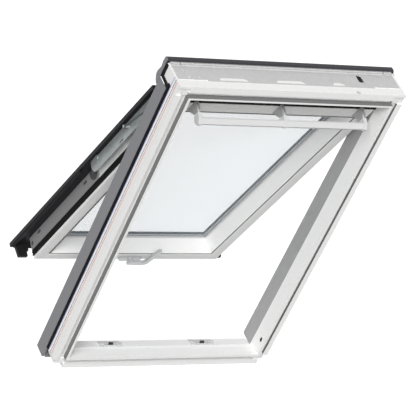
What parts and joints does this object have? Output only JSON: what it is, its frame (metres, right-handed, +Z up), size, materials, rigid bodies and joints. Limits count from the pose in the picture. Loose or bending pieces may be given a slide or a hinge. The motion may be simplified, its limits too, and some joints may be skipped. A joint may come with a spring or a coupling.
{
  "type": "roof window",
  "caption": "White top-hung roof window, its double-glazed sash open outward on two side arms, with grey metal cladding, ventilation bar and lever handle.",
  "frame": {"origin": "middle of the sill member's lower outer face, between the two sill screw holes", "axes": "+X across the window to the right as seen from the room, +Y outward away from the room, +Z up the window from sill to head"},
  "size_m": [0.788, 0.4951, 1.182],
  "materials": {
    "white_foam": "satin white moulded polyurethane over timber",
    "glass": "clear insulating glass",
    "black_rubber": "matt",
    "grey_rubber": "matt",
    "black_plastic": "matt",
    "grey_plastic": "matt",
    "grey_cladding": "matt lacquered aluminium",
    "grey_aluminium": "lightly brushed",
    "white_aluminium": "satin",
    "handle_metal": "satin",
    "steel": "zinc plated",
    "black_steel": "satin"
  },
  "bodies": {
    "arms": {"arm_left": "steel", "arm_right": "steel", "cover_carrier_left": "black_plastic", "cover_carrier_right": "black_plastic", "cover_upper_left": "grey_cladding", "cover_upper_right": "grey_cladding", "pivot_pins": "steel", "rod_pins": "steel"},
    "sash": {"cover_bottom": "grey_cladding", "cover_lower_left": "grey_cladding", "cover_lower_right": "grey_cladding", "cover_top": "grey_cladding", "end_cap_left": "black_plastic", "end_cap_right": "black_plastic", "glazing_gasket": "grey_rubber", "handle_plate": "handle_metal", "lower_carrier_left": "black_plastic", "lower_carrier_right": "black_plastic", "pane_inner": "glass", "pane_outer": "glass", "sash_bottom": "white_foam", "sash_cladding_left": "grey_cladding", "sash_cladding_right": "grey_cladding", "sash_gasket_left": "black_rubber", "sash_gasket_right": "black_rubber", "sash_gasket_top": "black_rubber", "sash_side_left": "white_foam", "sash_side_right": "white_foam", "sash_top": "white_foam", "side_panel_left": "grey_plastic", "side_panel_right": "grey_plastic", "spacer": "grey_aluminium", "vent_foot_left": "white_aluminium", "vent_foot_middle": "white_aluminium", "vent_foot_right": "white_aluminium"},
    "frame": {"frame_bottom": "white_foam", "frame_cladding_bottom": "grey_cladding", "frame_cladding_left": "grey_cladding", "frame_cladding_right": "grey_cladding", "frame_gasket_left": "black_rubber", "frame_gasket_right": "black_rubber", "frame_side_left": "white_foam", "frame_side_right": "white_foam", "frame_top": "white_foam", "head_latch": "black_plastic", "head_plate": "steel", "head_screw": "steel", "hinge_plate_left": "steel", "hinge_plate_right": "steel", "hood": "grey_cladding", "hood_rail": "black_plastic", "reveal_strip_left": "grey_aluminium", "reveal_strip_right": "grey_aluminium", "striker_left": "steel", "striker_right": "steel"},
    "lever": {"handle_lever": "handle_metal"},
    "rods": {"link_rod_left": "black_steel", "link_rod_right": "black_steel"},
    "vent": {"vent_bar": "white_aluminium"}
  },
  "joints": [
    {"name": "arm_hinge", "type": "hinge", "parent": "frame", "child": "arms", "pos_m": [0, 0.075, 1.068], "axis": [1, 0, 0], "range_deg": [-19.63, 25.37]},
    {"name": "turn_over", "type": "hinge", "parent": "arms", "child": "sash", "pos_m": [0, 0.22988, 0.65609], "axis": [1, 0, 0], "range_deg": [0, 165]},
    {"name": "lever_turn", "type": "hinge", "parent": "sash", "child": "lever", "pos_m": [-0.003, 0.343, 0.10825], "axis": [0, -0.9419, -0.3359], "range_deg": [0, 90]},
    {"name": "vent_swing", "type": "hinge", "parent": "sash", "child": "vent", "pos_m": [0, 0.00679, 1.06278], "axis": [-1, 0, 0], "range_deg": [0, 35]},
    {"name": "rod_swing", "type": "hinge", "parent": "arms", "child": "rods", "pos_m": [0, 0.14453, 0.85816], "axis": [1, 0, 0], "range_deg": [-2.8, 3.61]}
  ],
  "couplings": [
    {"joint": "rod_swing", "follows": "arm_hinge", "ratio": 0.142}
  ]
}
